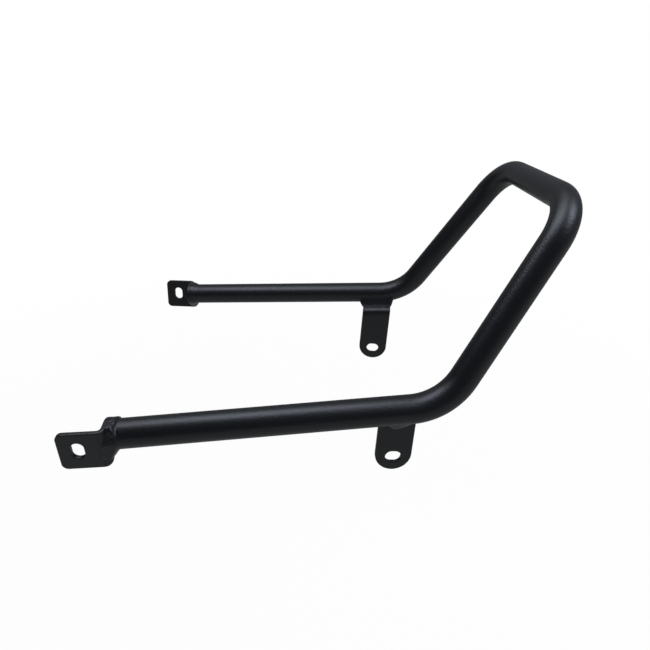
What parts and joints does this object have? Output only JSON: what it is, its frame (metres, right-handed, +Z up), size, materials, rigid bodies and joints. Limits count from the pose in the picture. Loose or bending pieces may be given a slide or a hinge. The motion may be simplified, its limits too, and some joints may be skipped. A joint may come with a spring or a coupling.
{
  "type": "motorcycle rear seat loop",
  "caption": "Bent round tube loop with two converging arms, an upswept cross bar and folded, slotted brackets welded on; frames the tail of a motorcycle seat.",
  "frame": {"origin": "midway between the two front bolt slots, at the middle of the plates", "axes": "+X to the rear of the motorcycle, +Y to its right, +Z up; the XZ plane is the plane of symmetry"},
  "size_m": [0.3892, 0.2854, 0.2292],
  "materials": {
    "powder_coat": "satin black powder coat",
    "coated_weld": "satin black powder coat over a rippled weld bead"
  },
  "bodies": {
    "root": {"front_bracket_left": "powder_coat", "front_bracket_right": "powder_coat", "front_weld_left": "coated_weld", "front_weld_right": "coated_weld", "loop_tube": "powder_coat", "rear_bracket_left": "powder_coat", "rear_bracket_right": "powder_coat", "rear_weld_inner_left": "coated_weld", "rear_weld_inner_right": "coated_weld", "rear_weld_outer_left": "coated_weld", "rear_weld_outer_right": "coated_weld"}
  },
  "joints": []
}
